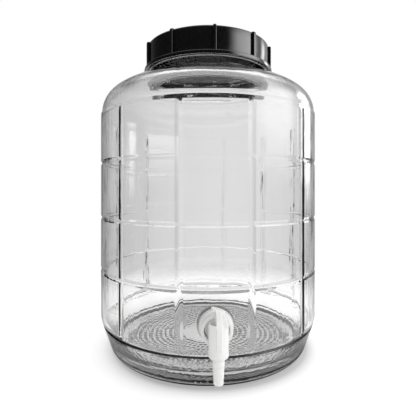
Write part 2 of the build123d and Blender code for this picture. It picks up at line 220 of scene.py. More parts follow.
# ------------------------------------------------------------------ glass jar
def jar_columns():
    """Directions of the jar's columns, close together at the upright grooves."""
    beside = np.array((1.2, 2.4, 3.5, 4.0, 4.35, 4.8, 5.6)) / BODY_R
    near = np.concatenate((-beside[::-1], (0,), beside))
    turns = []
    for i in range(GROOVE_COUNT):
        groove = math.radians(-90 + 180 / GROOVE_COUNT + 360 / GROOVE_COUNT * i)
        step = 2 * math.pi / GROOVE_COUNT
        between = 17 if i == GROOVE_COUNT - 1 else 7
        turns += list(groove + near)
        turns += list(groove + np.linspace(near[-1], step + near[0], between + 2)[1:-1])
    return np.array(turns)


def soft_max(a, b, blend):
    """The larger of two depths, rounded where they meet."""
    h = np.maximum(blend - np.abs(a - b), 0) / blend
    return np.maximum(a, b) + h * h * blend / 4


def grid_depth(turn, z):
    """How deep the pressed grid lies in the wall, mm."""
    step = 2 * math.pi / GROOVE_COUNT
    off = (turn - math.radians(-90 + 180 / GROOVE_COUNT) + step / 2) % step - step / 2
    across = off * BODY_R
    past_end = np.maximum(np.maximum(LEDGE_Z + GROOVE_END_GAP - z, z - PANEL_TOP + GROOVE_END_GAP), 0)
    past_end = past_end * GROOVE_TAPER
    upright = GROOVE_DEPTH * (1 - (across**2 + past_end**2) / (GROOVE_WIDTH / 2)**2)
    depth = soft_max(upright, np.zeros_like(upright), GROOVE_EDGE)
    for height in BAND_HEIGHTS:
        band = BAND_DEPTH * (1 - ((z - height) / (BAND_WIDTH / 2))**2) + 0 * turn
        depth = soft_max(depth, band, GROOVE_EDGE)
    return depth


def neck_thread(turn, z):
    """How far the neck's thread stands out at a direction and height, mm."""
    out = np.zeros_like(turn)
    for lap in (0, 1):
        along = turn % (2 * math.pi) + 2 * math.pi * lap
        end = 2 * math.pi * THREAD_TURNS
        middle = JAR_THREAD_LOW + THREAD_PITCH * along / (2 * math.pi)
        flank = (THREAD_ROOT / 2 - np.abs(z - middle)) / ((THREAD_ROOT - THREAD_CREST) / 2)
        run_in = np.clip(np.minimum(along, end - along) / THREAD_RUN_IN, 0, 1)
        out = np.maximum(out, THREAD_DEPTH * np.clip(flank, 0, 1) * run_in)
    return out


def inside_wave(turn, z):
    """Slow unevenness of the inside of the wall, mm."""
    upright = np.sin(7 * turn + z / 31) * 0.5 + np.sin(17 * turn - z / 19 + 1.3) * 0.3
    level = np.sin(z / 8.5 + 2 * np.sin(5 * turn)) * 0.2
    fine = np.sin(29 * turn + z / 47 + 0.7) * 0.25
    return INSIDE_WAVE * (upright + level + fine)


def outside_rows():
    """Rings of the jar's outside from the base up to the neck, as (kind, points) pairs."""
    ledge_r = BODY_R - LEDGE_DEPTH
    low = fillet_line(
        [(0, PUNT), (CONTACT_R - 2 * PUNT, PUNT), (CONTACT_R, 0), (FOOT_R, 0),
         (ledge_r, LEDGE_Z - 2 * LEDGE_NOTCH), (ledge_r - 1.5 * LEDGE_NOTCH, LEDGE_Z),
         (BODY_R - LEDGE_DEPTH / 2, LEDGE_Z + 3 * LEDGE_NOTCH), (BODY_R, LEDGE_Z + LEDGE_ROUND),
         (BODY_R, LEDGE_Z + LEDGE_ROUND + 1)],
        (6, 1.5, 14, 0.8, 0.25, 0.8, 8), 9)
    low = divide(low, 7.0)[1:]
    wall_low = low[-1][1]
    heights = [wall_low + 1, wall_low + 2, LEDGE_Z + GROOVE_END_GAP + 1]
    beside = (0.8, 1.8, 2.5, 2.85, 3.3, 4.2)
    offsets = [-off for off in reversed(beside)] + [0, *beside]
    for height in BAND_HEIGHTS:
        heights += list(np.linspace(heights[-1], height + offsets[0], 8)[1:-1])
        heights += [height + off for off in offsets]
    groove_top = PANEL_TOP - GROOVE_END_GAP
    heights += list(np.linspace(heights[-1], groove_top, 7)[1:])
    heights += [groove_top + off for off in (1.2, 2.6, 4.0, 5.4, 6.8, 8.2)]
    wall = [np.array((BODY_R, z)) for z in heights]
    panel_corner = [(BODY_R, PANEL_TOP - 2), (BODY_R, PANEL_TOP), (SHOULDER_R, SHOULDER_Z)]
    shoulder = shoulder_line(0)[1:-1]
    neck = fillet_line([shoulder[-1], (NECK_R, SHOULDER_TOP), (NECK_R, RIM_Z - 4)], (6,), 12)
    threaded = [np.array((NECK_R, z)) for z in np.arange(JAR_THREAD_LOW - 3, RIM_Z - 3, 0.75)]
    neck = [p for p in divide(neck, 3.0)[1:] if p[1] < threaded[0][1] - 0.3] + threaded
    return [("plain", low), ("wall", wall), ("plain", fillet_line(panel_corner, (0.8,), 9)),
            ("plain", shoulder), ("neck", neck)]


def inside_rows():
    """Rings over the rim and down the jar's inside to its floor, as (kind, points) pairs."""
    rim = fillet_line([(NECK_R, RIM_Z - 3), (NECK_R, RIM_Z), (MOUTH_R, RIM_Z), (MOUTH_R, SHOULDER_TOP - WALL),
                       shoulder_line(WALL)[-2]], (2, 2.6, 6), 15)
    shoulder = shoulder_line(WALL, upwards=False)[1:]
    inside = fillet_line([shoulder[-1], (INNER_R, SHOULDER_Z - 6), (INNER_R, FLOOR_TOP + 30),
                          (INNER_R - 14, FLOOR_TOP), (0, FLOOR_TOP)], (6, 22, 22), 7)
    return [("plain", divide(rim, 6.0)[:-1]), ("inside", shoulder), ("inside", divide(inside, 6.5)[1:-1])]


def make_jar():
    """The jar as one closed grid, from the middle of the base up the outside and down the inside."""
    turn = jar_columns()
    points = []
    for kind, part in outside_rows() + inside_rows():
        for radius, z in part:
            r = np.full(turn.shape, float(radius))
            over_ledge = LEDGE_Z + 2 < z < LEDGE_Z + LEDGE_ROUND + 2 and radius > BODY_R - 3
            if kind == "wall" or over_ledge:
                r = r - grid_depth(turn, z)
            if kind == "neck":
                r = r + neck_thread(turn, z)
            if kind == "inside":
                near_end = np.clip((z - FLOOR_TOP) / 40, 0, 1) * np.clip((SHOULDER_TOP - WALL - z) / 30, 0, 1)
                r = r + inside_wave(turn, z) * near_end
            points.append(np.stack((r * np.cos(turn), r * np.sin(turn), np.full(turn.shape, z)), -1))
    columns, last = len(turn), (len(points) - 1) * len(turn)
    faces = grid_faces(len(points), columns)
    bottom, top = last + columns, last + columns + 1
    points = np.concatenate(points + [np.array([(0, 0, PUNT), (0, 0, FLOOR_TOP)])])
    for i in range(columns):
        j = (i + 1) % columns
        faces += [(bottom, j, i), (last + i, last + j, top)]
    jar = make_object("jar_glass", points, faces, math.radians(50))
    drill(jar)
    return jar


def drill(jar):
    """The spigot's hole through the front wall, and the flat ground round it."""
    clear, through = 3, 14
    flat = clear + BOSS_FLAT
    line = [(0, 0), (BOSS_R, 0), (BOSS_R, flat), (HOLE_R, flat), (HOLE_R, through), (0, through)]
    bit = lathe("bit", line, 64, closed=False)
    bit.data.transform(laid_to_front(-BODY_R - clear))
    cut = jar.modifiers.new("hole", "BOOLEAN")
    cut.operation, cut.object, cut.solver = "DIFFERENCE", bit, "EXACT"
    applied(jar)
    bpy.data.objects.remove(bit)
    finish_mesh(jar.data, math.radians(50))


def laid_to_front(y):
    """Lays something made round Z along the spigot's axis, its low end at y (mm), running inwards."""
    return Matrix.Translation((0, y * MM, SPIGOT_Z * MM)) @ Matrix.Rotation(-math.pi / 2, 4, "X")


# ------------------------------------------------------------------ screw cap
CAP_BORE_R, CAP_WALL_R, CAP_TOP_Z = 78.7, 82.3, RIM_Z + 5.0
CAP_FOOT_Z = CAP_TOP_Z - 34.4
FLANGE_R, FLANGE_HEIGHT, FLANGE_LIP, FLANGE_WEB = 86.4, 4.5, 1.8, 1.6
CAP_DISH_R, CAP_DISH_DEPTH = 74.0, 0.9
LINER_TOP, LINER_WIDTH, LINER_GAP = RIM_Z + 2.0, 13.0, 0.3
KEEPER_R, KEEPER_WIDTH, KEEPER_DEPTH = 65.1, 2.2, 1.4
UNDER_RING_R = 39.0
RIB_COUNT, RIB_WIDTH, RIB_R, RIB_START = 10, 3.7, 85.5, math.radians(272.1)
RIB_TOP_ROUND, RIB_EDGE = 1.6, 0.7


def cap_shell_line():
    """Section of the cap from the middle of its top, down the outside and back under the top."""
    dish, ledge = CAP_TOP_Z - CAP_DISH_DEPTH, CAP_FOOT_Z + FLANGE_HEIGHT
    lip, web = FLANGE_R - FLANGE_LIP, ledge - FLANGE_WEB
    keeper_in, keeper_foot = KEEPER_R - KEEPER_WIDTH, RIM_Z - KEEPER_DEPTH
    ring_out, ring_in, ring_foot = UNDER_RING_R + 1, UNDER_RING_R - 1, LINER_TOP - 1
    line = fillet_line(
        [(0, dish), (CAP_DISH_R - CAP_DISH_DEPTH, dish), (CAP_DISH_R, CAP_TOP_Z), (CAP_WALL_R, CAP_TOP_Z),
         (CAP_WALL_R, ledge), (FLANGE_R, ledge), (FLANGE_R, CAP_FOOT_Z), (lip, CAP_FOOT_Z), (lip, web),
         (CAP_WALL_R, web), (CAP_WALL_R, CAP_FOOT_Z), (CAP_BORE_R, CAP_FOOT_Z), (CAP_BORE_R, LINER_TOP),
         (KEEPER_R, LINER_TOP), (KEEPER_R, keeper_foot), (keeper_in, keeper_foot), (keeper_in, LINER_TOP),
         (ring_out, LINER_TOP), (ring_out, ring_foot), (ring_in, ring_foot), (ring_in, LINER_TOP),
         (0, LINER_TOP)],
        (0.5, 0.5, 2, 0.8, 0.8, 0.5, 0.5, 0.3, 0.3, 0.4, 0.4, 0.3, 0, 0.4, 0.4, 0.3, 0.3, 0.3, 0.3, 0.3), 22)
    return divide(line, 12.0)


def make_thread(name, radius, low, side):
    """One helical ridge, standing out of a wall of that radius (side 1) or into it (side -1)."""
    sunk, crest = -side * 0.8, side * THREAD_DEPTH
    wide, narrow = THREAD_ROOT / 2, THREAD_CREST / 2
    section = [(sunk, -wide), (0, -wide), (crest, -narrow), (crest, narrow), (0, wide), (sunk, wide)]
    laps = np.linspace(0, 2 * math.pi * THREAD_TURNS, 150)
    points = []
    for a in laps:
        run_in = min(1, min(a, laps[-1] - a) / THREAD_RUN_IN)
        for out, up in section:
            r = radius + (out if out * side < 0 else out * run_in)
            z = low + THREAD_PITCH * a / (2 * math.pi) + up
            points.append((r * math.cos(a), r * math.sin(a), z))
    faces = grid_faces(len(laps), len(section))
    last = len(points) - len(section)
    faces += [tuple(range(len(section))), tuple(range(last, last + len(section)))]
    return make_object(name, points, faces, math.radians(28))


def make_rib():
    """One grip rib at +X: straight sides with rounded edges, and a rounded top end."""
    low, high, back, half = CAP_FOOT_Z + FLANGE_HEIGHT / 2, CAP_TOP_Z - 0.2, CAP_WALL_R - 1.0, RIB_WIDTH / 2
    bend = high - RIB_TOP_ROUND
    heights = [low, *np.linspace(low, bend, 5)[1:-1]]
    heights += [bend + RIB_TOP_ROUND * math.sin(a) for a in np.linspace(0, math.pi / 2, 6)]
    points, count = [], 0
    for z in heights:
        pull = RIB_TOP_ROUND - math.sqrt(max(0, RIB_TOP_ROUND**2 - max(0, z - bend)**2))
        corners = [(back, -half), (RIB_R - pull, -half), (RIB_R - pull, half), (back, half)]
        outline = fillet_line(corners, (RIB_EDGE, RIB_EDGE), 18)
        count = len(outline)
        points += [(x, y, z) for x, y in outline]
    faces = grid_faces(len(heights), count)
    faces += [tuple(range(count)), tuple(range(len(points) - count, len(points)))]
    return make_object("rib", points, faces, math.radians(50))


def ribs_tree(rib, count, start, material):
    """Sets a rib round the axis as often as Count says, joined to the shell."""
    tree = bpy.data.node_groups.new("cap_ribs", "GeometryNodeTree")
    face = tree.interface
    face.new_socket("Geometry", in_out="INPUT", socket_type="NodeSocketGeometry")
    inputs = {}
    for name, kind, value in (("Rib", "Object", rib), ("Count", "Int", count), ("Start", "Float", start)):
        inputs[name] = (face.new_socket(name, in_out="INPUT", socket_type="NodeSocket" + kind), value)
    face.new_socket("Geometry", in_out="OUTPUT", socket_type="NodeSocketGeometry")

    def add(kind, links, **settings):
        made = tree.nodes.new(kind)
        for name, setting in settings.items():
            setattr(made, name, setting)
        for name, value in links.items():
            if isinstance(value, bpy.types.NodeSocket):
                tree.links.new(value, made.inputs[name])
            else:
                made.inputs[name].default_value = value
        return made

    given = add("NodeGroupInput", {})
    step = add("ShaderNodeMath", {0: 2 * math.pi, 1: given.outputs["Count"]}, operation="DIVIDE")
    turn = add("ShaderNodeMath", {0: add("GeometryNodeInputIndex", {}).outputs[0], 1: step.outputs[0],
                                  2: given.outputs["Start"]}, operation="MULTIPLY_ADD")
    spin = add("ShaderNodeCombineXYZ", {"Z": turn.outputs[0]})
    spots = add("GeometryNodePoints", {"Count": given.outputs["Count"]})
    piece = add("GeometryNodeObjectInfo", {"Object": given.outputs["Rib"]}, transform_space="ORIGINAL")
    placed = add("GeometryNodeInstanceOnPoints", {"Points": spots.outputs[0], "Rotation": spin.outputs[0],
                                                  "Instance": piece.outputs["Geometry"]})
    solid = add("GeometryNodeRealizeInstances", {0: placed.outputs[0]})
    both = tree.nodes.new("GeometryNodeJoinGeometry")
    tree.links.new(solid.outputs[0], both.inputs[0])
    tree.links.new(given.outputs["Geometry"], both.inputs[0])
    coat = add("GeometryNodeSetMaterial", {"Geometry": both.outputs[0], "Material": material})
    tree.links.new(coat.outputs[0], tree.nodes.new("NodeGroupOutput").inputs[0])
    return tree, inputs


def make_cap(material):
    """The screw cap: a turned shell with its inside thread, and the ribs round it."""
    shell = lathe("cap", cap_shell_line(), 180, closed=False, sharp=math.radians(50))
    thread_low = JAR_THREAD_LOW - THREAD_PITCH / 2 + 0.4
    thread = make_thread("cap_thread", CAP_BORE_R, thread_low, -1)
    rib = make_rib()
    join(shell, thread)
    tree, inputs = ribs_tree(rib, RIB_COUNT, RIB_START, material)
    ribs = shell.modifiers.new("ribs", "NODES")
    ribs.node_group = tree
    for socket, value in inputs.values():
        ribs[socket.identifier] = value
    applied(shell)
    bpy.data.objects.remove(rib)
    return shell


def join(made, other):
    """Adds the other object's mesh to the first."""
    work = bmesh.new()
    work.from_mesh(made.data)
    work.from_mesh(other.data)
    work.to_mesh(made.data)
    work.free()
    bpy.data.objects.remove(other)


# ------------------------------------------------------------------ cap liner, spigot and tap
def make_liner():
    """The flat ring between the rim and the cap."""
    outer = CAP_BORE_R - LINER_GAP
    inner = outer - LINER_WIDTH
    line = [(inner, RIM_Z), (outer, RIM_Z), (outer, LINER_TOP), (inner, LINER_TOP)]
    return lathe("liner", line, 160)


# out from the wall, mm
FLANGE_BACK, FLANGE_FRONT, CUP_RIM = 1.4, 3.6, 13.2
SHANK_END, SOCKET_END, PLUG_END, SPOUT_OUT = -28.6, -13.4, -13.3, 28.6
COLLAR_BACK, COLLAR_FRONT = 3.9, 6.3
# radii, mm
WASHER_R, SEAT_R, CUP_R, CUP_BORE_R = 17.4, 16.4, 15.5, 12.3
SHANK_R, SHANK_BORE, SOCKET_MOUTH_R, SOCKET_R = 10.2, 7.0, 8.2, 7.6
COLLAR_R, PLUG_R, PLUG_TIP_R, ARM_R, PORT_R = 11.7, 8.14, 7.54, 8.4, 2.6
SPOUT_R, SPOUT_BORE, TAIL_TOP_R, TAIL_R, TAIL_LOW_R, TAIL_TIP_R = 9.2, 3.3, 5.6, 5.25, 4.9, 4.6
# up from the spigot's axis, mm
SPOUT_TOP, SPOUT_LOW, PORT_UP, LEVER_TOP = 13.9, -16.4, -4.2, 22.8
# down from the spout's lower end, mm
TAIL_TOP, TAIL_STEP, TAIL_LOW_STEP, TAIL_END = 1.4, 8.2, 19.0, 25.1
THUMB_LENGTH, THUMB_WIDTH, THUMB_THICK, THUMB_TILT = 13.2, 8.0, 1.6, math.radians(17)


def along_spigot(name, line, radii, closed=True, columns=96):
    """Turns a line of (radius, out from the wall) points round the spigot's axis."""
    start = line[-1:] if closed else []
    rounded = fillet_line(start + line + (line[:1] if closed else []), radii, 18)
    made = lathe(name, [(r, -out) for r, out in (rounded[1:-1] if closed else rounded)], columns, closed)
    made.data.transform(laid_to_front(-BODY_R))
    return made


def make_washer():
    """The outer washer, on the flat ground round the hole."""
    inner = SHANK_R + 0.1
    line = [(inner, -BOSS_FLAT), (WASHER_R, -BOSS_FLAT), (WASHER_R, FLANGE_BACK), (inner, FLANGE_BACK)]
    return along_spigot("washer_outside", line, (0, 0.4, 0.4, 0))


def make_cup():
    """The spigot's fixed body: a cup on a flange, the tapered socket and the shank through the wall."""
    stop = SOCKET_END - 2
    line = [(SHANK_BORE, SHANK_END), (SHANK_R, SHANK_END), (SHANK_R, FLANGE_BACK), (SEAT_R, FLANGE_BACK),
            (SEAT_R, FLANGE_FRONT), (CUP_R, FLANGE_FRONT), (CUP_R, CUP_RIM), (CUP_BORE_R, CUP_RIM),
            (CUP_BORE_R, FLANGE_FRONT), (SOCKET_MOUTH_R, FLANGE_FRONT), (SOCKET_R, SOCKET_END),
            (PORT_R, SOCKET_END), (PORT_R, stop), (SHANK_BORE, stop)]
    return along_spigot("cup", line, (0.3, 0.8, 0.3, 0.7, 0.9, 0.7, 0.9, 0.9, 0.6, 0.4, 0, 0.3, 0.3, 0))


def prism(name, outline, half):
    """An upright plate on the middle plane from (out from the wall, up from the spigot's axis) points."""
    count = len(outline)
    points = [(x, -BODY_R - out, SPIGOT_Z + up) for x in (-half, half) for out, up in outline]
    faces = grid_faces(2, count) + [tuple(range(count)), tuple(range(count, 2 * count))]
    return make_object(name, points, faces)


def plate(name, outline, low, high):
    """A level plate from (x, y) points in mm."""
    count = len(outline)
    points = [(x, y, z) for z in (low, high) for x, y in outline]
    faces = grid_faces(2, count) + [tuple(range(count)), tuple(range(count, 2 * count))]
    return make_object(name, points, faces)


def make_thumb_rest():
    """The rolled plate across the lever's top, with round ends."""
    end, reach = THUMB_WIDTH / 2, (THUMB_LENGTH - THUMB_WIDTH) / 2
    outline = [(side * (reach + end * math.cos(a)), side * end * math.sin(a))
               for side in (1, -1) for a in np.linspace(-math.pi / 2, math.pi / 2, 14)]
    rest = plate("thumb_rest", outline, 0, THUMB_THICK)
    spot = Vector((0, -BODY_R - SPOUT_OUT + 8.0, SPIGOT_Z + LEVER_TOP - 0.8)) * MM
    rest.data.transform(Matrix.Translation(spot) @ Matrix.Rotation(THUMB_TILT, 4, "Y"))
    return rest


def make_plug():
    """The tapered plug with its collar, and the arm out to the spout."""
    line = [(0, PLUG_END), (PLUG_TIP_R, PLUG_END), (PLUG_R, COLLAR_BACK), (COLLAR_R, COLLAR_BACK),
            (COLLAR_R, COLLAR_FRONT), (ARM_R, COLLAR_FRONT), (ARM_R, SPOUT_OUT), (0, SPOUT_OUT)]
    return along_spigot("tap", line, (0.4, 0.3, 0.6, 0.6, 1.5, 0), closed=False)


def make_spout():
    """The upright spout with the stepped tail for a hose under it."""
    low = SPIGOT_Z + SPOUT_LOW
    line = fillet_line([(0, SPIGOT_Z + SPOUT_TOP), (SPOUT_R, SPIGOT_Z + SPOUT_TOP), (SPOUT_R, low),
                        (TAIL_TOP_R, low - TAIL_TOP), (TAIL_TOP_R, low - TAIL_STEP),
                        (TAIL_R, low - TAIL_STEP), (TAIL_LOW_R, low - TAIL_LOW_STEP),
                        (TAIL_TIP_R, low - TAIL_LOW_STEP),
                        (TAIL_TIP_R, low - TAIL_END), (0, low - TAIL_END)],
                       (1.5, 1.6, 0.6, 0.2, 0, 0.2, 0, 1.2), 18)
    spout = lathe("spout", line, 80, closed=False)
    spout.data.transform(Matrix.Translation((0, -(BODY_R + SPOUT_OUT) * MM, 0)))
    return spout


def make_lever():
    """The flat lever over the spout and in front of it."""
    front, back = SPOUT_OUT + SPOUT_R, SPOUT_OUT - 12
    outline = [(SPOUT_OUT, -10), (front - 0.5, -10), (front + 1, -6), (front + 1, SPOUT_TOP - 4),
               (SPOUT_OUT + 7, SPOUT_TOP + 4), (SPOUT_OUT - 4, LEVER_TOP), (back, LEVER_TOP), (back, -6)]
    return prism("lever", outline, 2.5)


def make_cheek():
    """The lever's right side, which runs out into the spout's top."""
    top = LEVER_TOP - 0.8
    outline = [(SPOUT_OUT - 9, SPOUT_TOP - 2), (SPOUT_OUT + 8, SPOUT_TOP - 2),
               (SPOUT_OUT + 7, SPOUT_TOP + 3.5), (SPOUT_OUT - 4, top), (SPOUT_OUT - 9, top)]
    cheek = prism("cheek", outline, 2.4)
    for vertex in cheek.data.vertices:
        if vertex.co.x > 0:
            high = (vertex.co.z / MM - SPIGOT_Z - SPOUT_TOP) / 8
            vertex.co.x = (8.6 - 4.0 * max(0, high)) * MM
    return cheek


def tap_bits():
    """What is cut from the tap: the way down the spout, the port in the arm and the hollow by the lever."""
    foot = SPIGOT_Z + SPOUT_LOW - TAIL_END - 1.9
    way = lathe("way", [(0, foot), (SPOUT_BORE, foot), (SPOUT_BORE, SPIGOT_Z), (0, SPIGOT_Z)], 40, False)
    way.data.transform(Matrix.Translation((0, -(BODY_R + SPOUT_OUT) * MM, 0)))
    start = PLUG_END - 0.7
    line = [(0, start), (PORT_R, start), (PORT_R, SPOUT_OUT), (0, SPOUT_OUT)]
    port = along_spigot("port", line, (0, 0), False, 32)
    port.data.transform(Matrix.Translation((0, 0, PORT_UP * MM)))
    hollow_r, middle = SPOUT_R - 1.1, -BODY_R - SPOUT_OUT
    outline = [(hollow_r * math.cos(a), middle + hollow_r * math.sin(a))
               for a in np.linspace(1.9, 4.38, 20)]
    pocket = plate("pocket", outline, SPIGOT_Z + SPOUT_TOP - 5, SPIGOT_Z + SPOUT_TOP + 9)
    return way, port, pocket


def make_tap():
    """The turning tap, moulded in one: plug, arm, spout with its stepped tail, lever and thumb rest."""
    tap = make_plug()
    for part in (make_spout(), make_lever(), make_cheek(), make_thumb_rest()):
        join(tap, part)
    for bit in tap_bits():
        cut = tap.modifiers.new("way", "BOOLEAN")
        cut.operation, cut.object, cut.solver, cut.use_self = "DIFFERENCE", bit, "EXACT", True
        applied(tap)
        bpy.data.objects.remove(bit)
    skin = tap.modifiers.new("skin", "REMESH")
    skin.mode, skin.voxel_size, skin.adaptivity = "VOXEL", 0.36 * MM, 0.0
    soft = tap.modifiers.new("soft", "SMOOTH")
    soft.factor, soft.iterations = 0.5, 4
    applied(tap)
    finish_mesh(tap.data, math.radians(50))
    return tap


# ------------------------------------------------------------------ shader building
class Value:
    """A number from a shader socket; each operator on it adds a Math node."""

    def __init__(self, look, socket):
        self.look, self.socket = look, socket

    def __add__(self, other):
        return self.look.math("ADD", self, other)

    def __sub__(self, other):
        return self.look.math("SUBTRACT", self, other)

    def __rsub__(self, other):
        return self.look.math("SUBTRACT", other, self)

    def __mul__(self, other):
        return self.look.math("MULTIPLY", self, other)

    def __truediv__(self, other):
        return self.look.math("DIVIDE", self, other)

    def __pow__(self, other):
        return self.look.math("POWER", self, other)

    __radd__ = __add__
    __rmul__ = __mul__


class Look:
    """A material's or world's nodes."""

    def __init__(self, holder):
        holder.use_nodes = True
        self.tree = holder.node_tree
        self.tree.nodes.clear()
        ends = {bpy.types.World: "OutputWorld", bpy.types.Light: "OutputLight"}
        self.end = next((end for kind, end in ends.items() if isinstance(holder, kind)), "OutputMaterial")

    def node(self, kind, settings=None, sockets=None):
        """Adds a node: its settings first, then the values or links of its sockets, by name or number."""
        made = self.tree.nodes.new("ShaderNode" + kind)
        for name, setting in (settings or {}).items():
            setattr(made, name, setting)
        for name, value in (sockets or {}).items():
            if isinstance(value, Value):
                value = value.socket
            if isinstance(value, bpy.types.NodeSocket):
                self.tree.links.new(value, made.inputs[name])
            else:
                made.inputs[name].default_value = value
        return made

    def math(self, operation, *values):
        made = self.node("Math", {"operation": operation}, dict(enumerate(values)))
        return Value(self, made.outputs[0])

    def largest(self, first, *others):
        for other in others:
            first = self.math("MAXIMUM", first, other)
        return first

    def rays(self, *kinds):
        """For each kind, such as Camera: 1 for its rays and 0 for others."""
        made = self.node("LightPath")
        return [Value(self, made.outputs[f"Is {kind} Ray"]) for kind in kinds]

    def place(self, output="Object"):
        """The surface's point, as a vector socket."""
        return self.node("TexCoord").outputs[output]

    def split(self, vector):
        made = self.node("SeparateXYZ", sockets={0: vector})
        return [Value(self, made.outputs[i]) for i in range(3)]

    def step(self, value, low, high):
        """0 below low, 1 above high, smooth between; low may be the higher of the two."""
        made = self.node("MapRange", {"interpolation_type": "SMOOTHSTEP"},
                         {"Value": value, "From Min": low, "From Max": high})
        return Value(self, made.outputs["Result"])

    def noise(self, vector, scale, detail=2.0, roughness=0.5):
        made = self.node("TexNoise", {"noise_dimensions": "3D"},
                         {"Vector": vector, "Scale": scale, "Detail": detail, "Roughness": roughness})
        return Value(self, made.outputs["Fac"])

    def tint(self, factor, low, high):
        made = self.node("Mix", {"data_type": "RGBA"}, {"Factor": factor, 6: (*low, 1), 7: (*high, 1)})
        return made.outputs[2]

    def bump(self, height, distance, strength=1.0):
        """A normal from a height; distance is metres per unit of it."""
        return self.node("Bump", sockets={"Height": height, "Distance": distance,
                                          "Strength": strength}).outputs["Normal"]

    def surface(self, shader):
        self.finish("Surface", shader)

    def finish(self, socket, shader):
        for out in self.tree.nodes:
            if out.type in ("OUTPUT_MATERIAL", "OUTPUT_WORLD", "OUTPUT_LIGHT"):
                break
        else:
            out = self.node(self.end)
        self.tree.links.new(shader.outputs[0], out.inputs[socket])


def new_look(name):
    material = bpy.data.materials.new(name)
    return material, Look(material)


# ------------------------------------------------------------------ materials
def stipple(look, x, y, radius):
    """Round dots in rings about the axis: 1 at a dot's middle, 0 between the dots."""
    row_gap, dot_gap, dot_r = 0.0068, 0.0058, 0.0027
    row = look.math("FLOOR", radius / row_gap) + 0.5
    row_radius = row * row_gap
    count = look.math("ROUND", row_radius * (2 * math.pi / dot_gap))
    lap = look.math("ARCTAN2", y, x) * (1 / (2 * math.pi))
    along = (look.math("FRACT", lap * count + row * 0.37 + 40.0) - 0.5) * dot_gap
    across = radius - row_radius
    return look.math("MAXIMUM", 1 - (along * along + across * across) * (1 / dot_r**2), 0.0)


def foot_painted_shade(look, place, radius):
    """Painted shade: dark lines painted on the outside of the thick foot where its glass would show shade:
    its outline, a low band, a ragged line over them and a broken line under the ledge."""
    x, y, z = look.split(place)
    turned = look.math("ABSOLUTE", look.math("ARCTAN2", x, 0.0 - y))
    rough = look.noise(place, 330.0, 3.0, 0.6) - 0.5
    coarse = look.noise(place, 70.0, 2.0) - 0.5
    outline = look.step(z, 0.0062, 0.0055)
    low_band = look.step(z, 0.0086, 0.0091) * look.step(z + rough * 0.006, 0.0118, 0.0111)
    rise = look.math("ABSOLUTE", 0.0160 + turned * 0.0050 + coarse * 0.006 + rough * 0.0060 - z)
    ragged_line = look.step(rise, 0.0009, 0.0004) * look.step(turned, 1.7, 1.5)
    upper = look.step(z, 0.0341, 0.0345) * look.step(z, 0.0354, 0.0350)
    upper = upper * look.step(coarse + rough, -0.06, 0.04)
    outer_side = look.step(radius - z * 0.3, 0.1190, 0.1200)
    return look.largest(outline, upper, ragged_line, low_band) * outer_side


def ledge_painted_shade(look, y, z, radius):
    """Painted shade: a dark line painted on the front half where the ledge over the foot would show shade."""
    line = look.step(z, 0.0366, 0.0371) * look.step(z, 0.0398, 0.0391) * look.step(radius, 0.1350, 0.1355)
    return line * look.step(y, 0.05, -0.02)


def clear_glass():
    """Pressed soda glass: stippled underneath and faintly wavy, with painted shade darkening its colour at
    the stipple dots, along the foot and the ledge, and where seen edge on.
    """
    material, look = new_look("clear_glass")
    place = look.place()
    x, y, z = look.split(place)
    radius = (x * x + y * y) ** 0.5
    dot = stipple(look, x, y, radius)
    under = look.step(z, 0.0052, 0.0046) * look.step(radius, 0.030, 0.036) * look.step(radius, 0.1015, 0.0995)
    heel = look.step(z, 0.0120, 0.0150) * look.step(z, 0.0380, 0.0280) * look.step(radius, 0.100, 0.112)
    heel = heel * look.step(z * 0.3 + 0.126 - radius, 0.0, 0.0005)
    lumps = look.noise(place, 230.0, 3.0)
    skin = look.noise(place, 38.0, 1.0)
    drawn = look.node("Mapping", sockets={"Vector": place, "Scale": (1.0, 1.0, 0.08)}).outputs[0]
    streak = look.noise(drawn, 210.0, 2.0)
    height = dot * under * 0.35 + lumps * heel * 0.7 + skin * 0.28 + streak * 0.10
    # Painted shade: the stipple dots are darkened in the colour, standing in for the dark they show through
    # the glass.
    painted_dot_shade = look.step(dot, 0.25, 0.50) * under
    # Painted shade: the glass's colour is darkened where it is seen edge on, standing in for dark
    # surroundings seen through it.
    grazing = Value(look, look.node("LayerWeight", sockets={"Blend": 0.5}).outputs["Facing"])
    rim = look.step(grazing, 0.62, 0.96) * 0.92
    # Painted shade: these dark marks darken the glass's base colour.
    dark = look.largest(painted_dot_shade, foot_painted_shade(look, place, radius), ledge_painted_shade(look, y, z, radius), rim)
    glass = look.node("BsdfPrincipled", sockets={
        "Base Color": look.tint(dark, (0.985, 0.985, 0.985), (0.003, 0.003, 0.003)),
        "Roughness": 0.0, "IOR": 1.5, "Transmission Weight": 1.0,
        "Normal": look.bump(height, 0.001)})
    depth = look.node("VolumeAbsorption", sockets={"Color": (0.8, 0.8, 0.8, 1), "Density": 9.0})
    look.surface(glass)
    look.finish("Volume", depth)
    return material


def cap_plastic():
    """Gloss black moulded plastic with a faint flow in its skin."""
    material, look = new_look("black_plastic")
    place = look.place()
    flow = look.noise(place, 60.0, 3.0)
    grain = look.noise(place, 900.0, 2.0)
    look.surface(look.node("BsdfPrincipled", sockets={
        "Base Color": look.tint(flow, (0.0035, 0.0035, 0.0037), (0.006, 0.006, 0.0063)),
        "Roughness": 0.12 + flow * 0.10, "IOR": 1.75, "Coat Weight": 1.0, "Coat Roughness": 0.08,
        "Normal": look.bump(flow * 0.6 + grain * 0.04, 0.0002)}))
    return material


def spigot_plastic():
    """Satin white moulded plastic."""
    material, look = new_look("white_plastic")
    place = look.place()
    cloud = look.noise(place, 90.0, 3.0)
    grain = look.noise(place, 1600.0, 2.0)
    look.surface(look.node("BsdfPrincipled", sockets={
        "Base Color": look.tint(cloud, (0.89, 0.89, 0.88), (0.93, 0.93, 0.92)),
        "Roughness": 0.32 + grain * 0.12, "IOR": 1.47,
        "Normal": look.bump(grain * 0.5 + cloud * 0.5, 0.00005)}))
    return material


